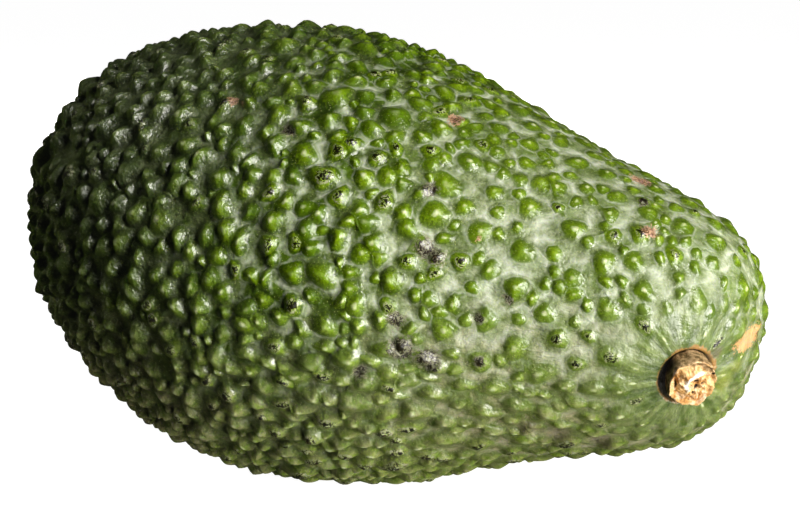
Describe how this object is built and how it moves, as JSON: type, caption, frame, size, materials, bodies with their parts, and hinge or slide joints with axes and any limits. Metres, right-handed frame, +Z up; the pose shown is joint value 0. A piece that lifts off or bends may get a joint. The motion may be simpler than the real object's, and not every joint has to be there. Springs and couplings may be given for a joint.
{
  "type": "avocado",
  "caption": "Whole avocado lying on its side: pear-shaped fruit with a green pebbled skin and a corky stem stub in a shallow dimple.",
  "frame": {"origin": "middle of the fruit's box, on the surface it rests on", "axes": "+X along the fruit towards its stem end, +Z up as it rests"},
  "size_m": [0.1162, 0.068, 0.0668],
  "materials": {
    "skin": "glossy green bumps with a pale waxy bloom in the valleys between them",
    "stem": "dry, corky, broken across, with dark pits"
  },
  "bodies": {
    "root": {"fruit": "skin", "stem_stub": "stem"}
  },
  "joints": []
}
